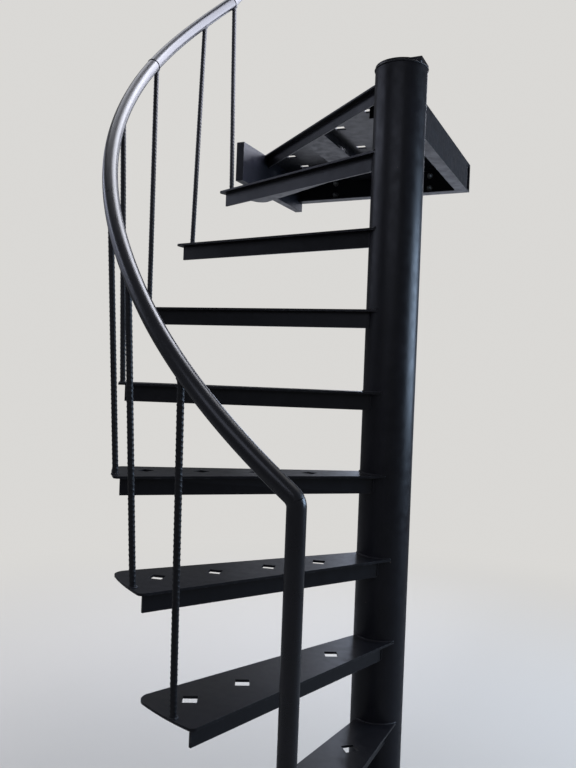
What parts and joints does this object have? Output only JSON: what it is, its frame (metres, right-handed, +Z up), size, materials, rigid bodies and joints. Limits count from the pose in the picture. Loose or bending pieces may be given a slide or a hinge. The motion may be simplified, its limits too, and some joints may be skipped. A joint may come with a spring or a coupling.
{
  "type": "spiral staircase",
  "caption": "Steel spiral stair with flat-bar-stiffened plate treads on a pipe column, ribbed bar balusters, a bent tube handrail and a plate landing",
  "frame": {"origin": "centre of the column's foot plate, on the floor", "axes": "+Z up along the column, +Y the way a climber leaves the landing, +X from the landing's side beam towards the column"},
  "size_m": [1.0279, 1.7215, 3.101],
  "materials": {
    "paint": "satin charcoal enamel over steel",
    "bar_paint": "satin enamel over ribbed bar"
  },
  "bodies": {
    "root": {"column": "paint", "column_foot": "paint", "column_cap": "paint", "tread_1": "paint", "tread_2": "paint", "tread_3": "paint", "tread_4": "paint", "tread_5": "paint", "tread_6": "paint", "tread_7": "paint", "tread_8": "paint", "tread_9": "paint", "baluster_3": "bar_paint", "baluster_4": "bar_paint", "baluster_5": "bar_paint", "baluster_6": "bar_paint", "baluster_7": "bar_paint", "baluster_8": "bar_paint", "baluster_9": "bar_paint", "newel_post": "paint", "newel_foot": "paint", "handrail_lower": "paint", "handrail_upper": "paint", "landing_plate": "paint", "landing_side_beam": "paint", "landing_house_beam": "paint", "landing_rear_beam": "paint", "landing_joist": "paint", "landing_cleat": "paint", "landing_handrail": "paint", "landing_rail_flange": "paint"}
  },
  "joints": []
}
